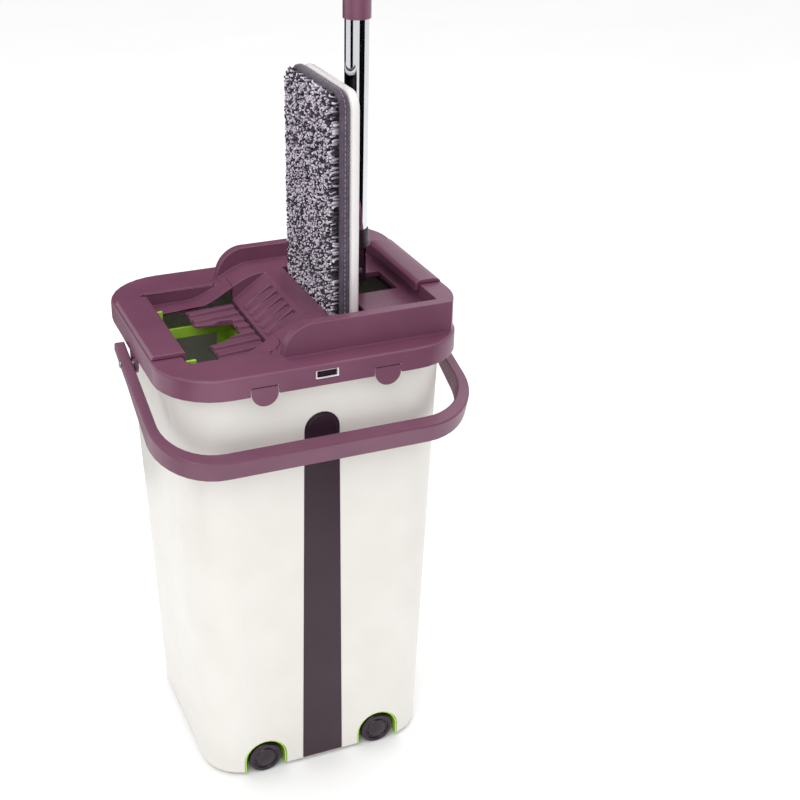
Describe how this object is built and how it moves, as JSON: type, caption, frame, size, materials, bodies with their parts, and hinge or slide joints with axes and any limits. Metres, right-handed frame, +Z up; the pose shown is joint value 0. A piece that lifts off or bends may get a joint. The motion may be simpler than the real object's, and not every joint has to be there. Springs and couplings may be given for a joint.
{
  "type": "flat squeeze mop with two-slot bucket",
  "caption": "Flat mop with a pile pad and a hinged chrome pole, parked in a tall square bucket whose lid has a wash opening, a wringing slot, a carry handle and wheels.",
  "frame": {"origin": "centre of the tub's flat underside", "axes": "+Z up, +X along the lid from the wash opening to the mop slot, -Y the front with the long inlay"},
  "size_m": [0.2826, 0.2462, 1.2483],
  "materials": {
    "mauve_polypropylene": "satin moulded",
    "plum_polypropylene": "satin moulded",
    "cream_polypropylene": "semi-gloss moulded",
    "lime_polypropylene": "satin moulded",
    "dark_plum_nylon": "matt moulded",
    "white_abs": "semi-gloss moulded",
    "grey_hook_tape": "hook tape",
    "chenille_pile": "looped pile",
    "black_rubber": "matt",
    "catch_white_abs": "satin moulded",
    "steel_pin": "drawn",
    "chrome_tube": "polished"
  },
  "bodies": {
    "bucket": {"tub": "cream_polypropylene", "stripe_front": "plum_polypropylene", "stripe_back": "plum_polypropylene", "wheel_housing_front_left": "lime_polypropylene", "wheel_housing_front_right": "lime_polypropylene", "wheel_housing_back_left": "lime_polypropylene", "wheel_housing_back_right": "lime_polypropylene", "axle_front_left": "steel_pin", "axle_front_right": "steel_pin", "axle_back_left": "steel_pin", "axle_back_right": "steel_pin", "lid": "mauve_polypropylene", "end_cover_left": "mauve_polypropylene", "end_cover_right": "mauve_polypropylene", "catch_front": "catch_white_abs", "catch_back": "catch_white_abs", "wash_frame": "lime_polypropylene", "scrub_plate": "mauve_polypropylene", "wiper_holder": "lime_polypropylene", "wiper_blade": "black_rubber", "handle_pin_left": "steel_pin", "handle_pin_right": "steel_pin"},
    "wheel_front_left": {"wheel_front_left": "dark_plum_nylon"},
    "wheel_front_right": {"wheel_front_right": "dark_plum_nylon"},
    "wheel_back_left": {"wheel_back_left": "dark_plum_nylon"},
    "wheel_back_right": {"wheel_back_right": "dark_plum_nylon"},
    "latch_front_left": {"latch_front_left": "mauve_polypropylene"},
    "latch_front_right": {"latch_front_right": "mauve_polypropylene"},
    "latch_back_left": {"latch_back_left": "mauve_polypropylene"},
    "latch_back_right": {"latch_back_right": "mauve_polypropylene"},
    "carry_handle": {"carry_handle": "mauve_polypropylene"},
    "mop_head": {"mop_plate": "white_abs", "hook_strip_upper": "grey_hook_tape", "hook_strip_lower": "grey_hook_tape", "mop_pad": "chenille_pile", "head_yoke": "plum_polypropylene", "yoke_pin_upper": "steel_pin", "yoke_pin_lower": "steel_pin"},
    "swivel": {"swivel_block": "dark_plum_nylon"},
    "pole": {"pole_fork": "plum_polypropylene", "tilt_pin": "steel_pin", "lower_tube": "chrome_tube", "tube_coupler": "plum_polypropylene", "upper_tube": "chrome_tube", "pole_sleeve": "mauve_polypropylene", "end_grip": "mauve_polypropylene"}
  },
  "joints": [
    {"name": "mop_lift", "type": "slide", "parent": "bucket", "child": "mop_head", "axis": [0, 0, 1], "range_m": [-0.2, 0.32]},
    {"name": "head_turn", "type": "hinge", "parent": "mop_head", "child": "swivel", "pos_m": [0.0705, 0, 0.442], "axis": [0, 0, 1], "range_deg": [-40, 40]},
    {"name": "pole_tilt", "type": "hinge", "parent": "swivel", "child": "pole", "pos_m": [0.0705, 0, 0.442], "axis": [0, 1, 0], "range_deg": [0, 48]},
    {"name": "handle_swing", "type": "hinge", "parent": "bucket", "child": "carry_handle", "pos_m": [0, 0, 0.384], "axis": [-1, 0, 0], "range_deg": [0, 74]},
    {"name": "wheel_spin_front_left", "type": "hinge", "parent": "bucket", "child": "wheel_front_left", "pos_m": [-0.0555, -0.09, 0.0122], "axis": [0, 1, 0], "continuous": true},
    {"name": "wheel_spin_front_right", "type": "hinge", "parent": "bucket", "child": "wheel_front_right", "pos_m": [0.0555, -0.09, 0.0122], "axis": [0, 1, 0], "continuous": true},
    {"name": "wheel_spin_back_left", "type": "hinge", "parent": "bucket", "child": "wheel_back_left", "pos_m": [-0.0555, 0.09, 0.0122], "axis": [0, 1, 0], "continuous": true},
    {"name": "wheel_spin_back_right", "type": "hinge", "parent": "bucket", "child": "wheel_back_right", "pos_m": [0.0555, 0.09, 0.0122], "axis": [0, 1, 0], "continuous": true},
    {"name": "latch_flex_front_left", "type": "hinge", "parent": "bucket", "child": "latch_front_left", "pos_m": [-0.0523, -0.11575, 0.401], "axis": [-1, 0, 0], "range_deg": [0, 12], "stiffness_Nm_per_rad": 0.08},
    {"name": "latch_flex_front_right", "type": "hinge", "parent": "bucket", "child": "latch_front_right", "pos_m": [0.0523, -0.11575, 0.401], "axis": [-1, 0, 0], "range_deg": [0, 12], "stiffness_Nm_per_rad": 0.08},
    {"name": "latch_flex_back_left", "type": "hinge", "parent": "bucket", "child": "latch_back_left", "pos_m": [-0.0523, 0.11575, 0.401], "axis": [1, 0, 0], "range_deg": [0, 12], "stiffness_Nm_per_rad": 0.08},
    {"name": "latch_flex_back_right", "type": "hinge", "parent": "bucket", "child": "latch_back_right", "pos_m": [0.0523, 0.11575, 0.401], "axis": [1, 0, 0], "range_deg": [0, 12], "stiffness_Nm_per_rad": 0.08}
  ]
}
